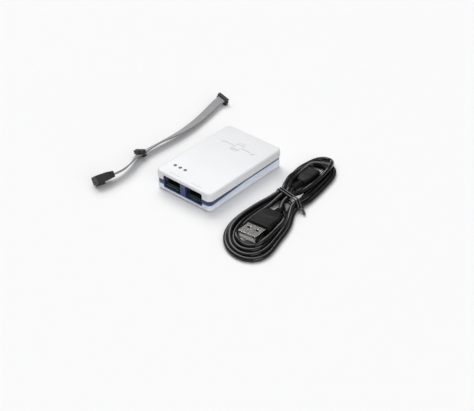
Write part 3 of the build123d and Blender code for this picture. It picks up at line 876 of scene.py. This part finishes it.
# ---- plugs --------------------------------------------------------------------------------------
# Each has a frame of its own: X across, Y from the front of the grip to the rear, and Z up.
def grip_stations(length, rear_scale, grooves):
    """Places along a grip, each with its width and its thickness as shares of the whole."""
    straight = length * 0.6
    stations = [(0.0, 0.93, 0.90), (0.35, 0.985, 0.9925), (0.9, 1.0, 1.0)]
    first_groove = straight * 0.34
    for index in range(grooves):
        place = first_groove + GROOVE_PITCH * index
        stations += [(place - GROOVE_LIP, 1.0, 1.0), (place - GROOVE_FLOOR, GROOVE_SHARE, 1.0)]
        stations += [(place + GROOVE_FLOOR, GROOVE_SHARE, 1.0), (place + GROOVE_LIP, 1.0, 1.0)]
    taper_steps = 8
    for step in range(1, taper_steps + 1):
        part = step / taper_steps
        scale = 1.0 - (1.0 - rear_scale) * part ** 1.7
        stations.append((straight + (length - straight) * part, scale, 0.5 + 0.5 * scale))
    stations.append((length + 0.25, rear_scale * 0.88, 0.72))
    return stations


def grip_rings(width, thickness, length, rear_scale, grooves):
    """Rings of an overmould: a chamfered front, side grooves for the fingers and a rounded taper."""
    rings = []
    for y, width_share, thickness_share in grip_stations(length, rear_scale, grooves):
        across = width / 2 * width_share
        deep = thickness / 2 * thickness_share
        corner = min(thickness * 0.24, across * 0.6)
        rings.append([(x, y, z) for x, z in rounded_section(across, deep, corner)])
    return rings


def relief_rings(start, end, front_radius, rear_radius, ribs):
    """Rings of a ribbed strain relief that tapers towards the cord."""
    rings = []
    steps = ribs * 4
    for step in range(steps + 1):
        part = step / steps
        radius = front_radius + (rear_radius - front_radius) * part
        if step % 4 in (2, 3) and step < steps:
            radius -= RELIEF_GROOVE
        y = start + (end - start) * part
        rings.append([(x, y, z) for x, z in circle(radius)])
    return rings


def make_plug_piece(name, rings, front, turn, slot, replaced):
    """A grip or a boot, put on its plug. Both kinds have the look of the grips."""
    placed = [[on_plug(front, turn, point) * MM for point in ring] for ring in rings]
    place_piece(skin(name, placed), "usb_lead", slot, [replaced], "grip_black")


def make_plug_pieces():
    """The overmould and strain relief of each plug, in place of the plain CAD solids."""
    grip = grip_rings(width=15.2, thickness=7.2, length=A_GRIP_LENGTH, rear_scale=0.68, grooves=5)
    boot = relief_rings(A_GRIP_LENGTH, A_RELIEF_END, front_radius=2.85, rear_radius=2.05, ribs=4)
    seat = (PLUG_A_FRONT, PLUG_A_TURN)
    make_plug_piece("usb_a_grip", grip, *seat, "grip_black", "usb_a_overmould")
    make_plug_piece("usb_a_boot", boot, *seat, "cord_black", "usb_a_strain_relief")
    grip = grip_rings(width=9.0, thickness=6.0, length=B_GRIP_LENGTH, rear_scale=0.66, grooves=4)
    boot = relief_rings(B_GRIP_LENGTH, B_RELIEF_END, front_radius=2.4, rear_radius=1.75, ribs=7)
    seat = (PLUG_B_FRONT, PLUG_B_TURN)
    make_plug_piece("micro_b_grip", grip, *seat, "grip_black", "micro_b_overmould")
    make_plug_piece("micro_b_boot", boot, *seat, "cord_black", "micro_b_strain_relief")


# ---- tie ----------------------------------------------------------------------------------------
def tie_outline():
    """The line of a wire drawn tight round the strands: across the tie and up, in millimetres."""
    cloud = []
    for offset, layer in TIE_SLOTS:
        height = layer_height(layer)
        cloud += [(offset + x, height + z) for x, z in circle((CORD_DIAMETER + TIE_WIRE) / 2)]
    cloud.sort()
    hull = []
    for points in (cloud, cloud[::-1]):
        side = []
        for point in points:
            while len(side) > 1 and cross(side[-2], side[-1], point) <= 0:
                side.pop()
            side.append(point)
        hull += side[:-1]
    return hull


def cross(origin, first, second):
    """Above nought if the turn from first to second about the origin is anticlockwise."""
    first_x, first_y = first[0] - origin[0], first[1] - origin[1]
    second_x, second_y = second[0] - origin[0], second[1] - origin[1]
    return first_x * second_y - first_y * second_x


def tie_tail(edge, height, side):
    """One end of the wire, twisted round the other beside the bundle. The two sides are 1 and -1."""
    points = []
    steps = 14
    for step in range(steps + 1):
        part = step / steps
        angle = math.radians(90) + TAIL_TWIST * part
        lean = side * (TAIL_LEAN * min(1.0, part * 4) + TIE_PITCH * max(0.0, 1 - part * 4))
        across = edge + TAIL_GAP + TAIL_LENGTH * part
        along = lean * math.sin(angle) - TAIL_SWEEP * part
        up = max(height - TAIL_DROP * part, TAIL_LOWEST) + lean * math.cos(angle) * 0.9
        points.append(at_tie(across, along, up))
    return points


def make_tie():
    """A coated wire wound twice round the bundle, with its two ends twisted together."""
    outline = tie_outline()
    start = max(range(len(outline)), key=lambda index: outline[index][0])
    ring = outline[start:] + outline[:start]
    count = len(ring)
    wound = []
    for index in range(TIE_TURNS * count + 1):
        across, height = ring[index % count]
        along = TIE_PITCH * (index / count - TIE_TURNS / 2)
        wound.append(at_tie(across, along, height))
    points = tie_tail(*ring[0], -1)[::-1] + wound + tie_tail(*ring[0], 1)
    points = [(x, y, max(z, TIE_WIRE / 2)) for x, y, z in points]
    tie = nurbs_curve("cord_tie_wire", points, TIE_WIRE / 2)
    place_piece(tie, "usb_lead", "cord_black", ["cord_tie"], "tie_plastic")


# ---- ribbon lead --------------------------------------------------------------------------------
def ribbon_frames():
    """Places along the ribbon's smooth line, each with its width and thickness directions."""
    line = smooth_line([station[:3] for station in RIBBON_ROUTE], resolution=8)
    route_y = [station[1] for station in RIBBON_ROUTE][::-1]
    route_tilt = [station[3] for station in RIBBON_ROUTE][::-1]
    frames = []
    for index, point in enumerate(line):
        before = line[max(index - 1, 0)]
        after = line[min(index + 1, len(line) - 1)]
        heading = (after - before).normalized()
        level = heading.cross(Vector((0, 0, 1))).normalized() * -1
        rise = level.cross(heading).normalized()
        if rise.z < 0:
            rise = -rise
        tilt = math.radians(float(np.interp(point.y, route_y, route_tilt)))
        width = level * math.cos(tilt) + rise * math.sin(tilt)
        up = rise * math.cos(tilt) - level * math.sin(tilt)
        frames.append((point, width, up))
    return frames


def ribbon_profile():
    """The ribbon's outline: ten round cores side by side, joined by thin webs."""
    pitch = RIBBON_WIDTH / RIBBON_CORES
    samples = 6
    top = []
    for core in range(RIBBON_CORES):
        centre = (core + 0.5) * pitch - RIBBON_WIDTH / 2
        for step in range(samples):
            angle = math.pi * (step + 0.5) / samples
            x = centre - 0.5 * pitch * math.cos(angle)
            top.append((x, RIBBON_WEB + RIBBON_CORE_RISE * math.sin(angle)))
    bottom = [(x, -y) for x, y in reversed(top)]
    return top + bottom


def make_ribbon():
    """The ribbon, with its last core flagged for the darker grey of the pin-one mark and painted shade,
    and its middle line in metres.
    """
    frames = ribbon_frames()
    profile = ribbon_profile()
    rings = [[(point + width * x + up * y) * MM for x, y in profile] for point, width, up in frames]
    ribbon = skin("ribbon", rings, RIBBON_SHARP_ANGLE)
    inner_edge = RIBBON_WIDTH * (0.5 - 1.0 / RIBBON_CORES)
    shade_marks = [float(x > inner_edge) for x, _ in profile] * len(frames)
    ribbon.data.attributes.new(PIN_ONE_SHADE_CORE, "FLOAT", "POINT").data.foreach_set("value", shade_marks)
    return ribbon, [point * MM for point, _, _ in frames]


# ---- the frame's nodes and the leads ------------------------------------------------------------
paint_nodes()
bevel_nodes()
make_plug_pieces()
make_tie()

usb_cord, usb_points = make_usb_cord()
place_piece(usb_cord, "usb_lead", "cord_black", ["usb_cord_hank"])
usb_pieces = ["usb_a_grip", "usb_a_boot", "micro_b_grip", "micro_b_boot", "cord_tie_wire"]
usb_pieces += ["usb_a_shell", "usb_a_tongue", "usb_a_contacts", "micro_b_shell", "micro_b_tongue"]

ribbon, ribbon_line = make_ribbon()
place_piece(ribbon, "ribbon_lead", "ribbon_grey", ["ribbon_cable"])


# ---- stage --------------------------------------------------------------------------------------
def make_floor():
    """A plain pale floor under everything."""
    mesh = bmesh.new()
    bmesh.ops.create_grid(mesh, x_segments=1, y_segments=1, size=FLOOR_HALF_SIZE)
    floor = mesh_object("floor", mesh)
    floor.data.materials.append(new_material("floor_white", FLOOR_COLOUR, 0.9))


def add_sun(name, bearing, elevation, strength, spread):
    """A distant soft light that shines from a bearing and a height above the horizon."""
    data = bpy.data.lights.new(name, "SUN")
    data.energy = strength
    data.angle = math.radians(spread)
    light = bpy.data.objects.new(name, data)
    turn = math.radians(bearing)
    climb = math.radians(elevation)
    level = math.cos(climb)
    source = Vector((math.cos(turn) * level, math.sin(turn) * level, math.sin(climb)))
    light.rotation_mode = "QUATERNION"
    light.rotation_quaternion = (-source).to_track_quat("-Z", "Y")
    bpy.context.collection.objects.link(light)


def make_world():
    """A studio that is bright overhead and darker towards the horizon."""
    world = bpy.data.worlds.new("studio")
    world.use_nodes = True
    nodes = world.node_tree.nodes
    links = world.node_tree.links
    place = nodes.new("ShaderNodeTexCoord")
    split = nodes.new("ShaderNodeSeparateXYZ")
    ramp = nodes.new("ShaderNodeValToRGB")
    set_stops(ramp, [(height, (level, level, level * WORLD_BLUE)) for height, level in WORLD_STOPS])
    links.new(place.outputs["Generated"], split.inputs["Vector"])
    links.new(split.outputs["Z"], ramp.inputs["Fac"])
    links.new(ramp.outputs["Color"], nodes["Background"].inputs["Color"])
    nodes["Background"].inputs["Strength"].default_value = WORLD_STRENGTH
    bpy.context.scene.world = world


def make_camera():
    """The camera, at the viewing angle and distance given above."""
    azimuth = math.radians(CAMERA_AZIMUTH)
    elevation = math.radians(CAMERA_ELEVATION)
    level = math.cos(elevation)
    back = Vector((math.sin(azimuth) * level, -math.cos(azimuth) * level, math.sin(elevation)))
    data = bpy.data.cameras.new("camera")
    data.lens = CAMERA_LENS
    data.sensor_width = CAMERA_SENSOR
    camera = bpy.data.objects.new("camera", data)
    camera.location = Vector(CAMERA_TARGET) + back * CAMERA_DISTANCE
    camera.rotation_mode = "QUATERNION"
    camera.rotation_quaternion = (-back).to_track_quat("-Z", "Y")
    bpy.context.collection.objects.link(camera)
    bpy.context.scene.camera = camera


make_floor()
make_camera()
make_world()
for sun in SUNS:
    add_sun(*sun)
bpy.context.scene.view_settings.view_transform = "Standard"
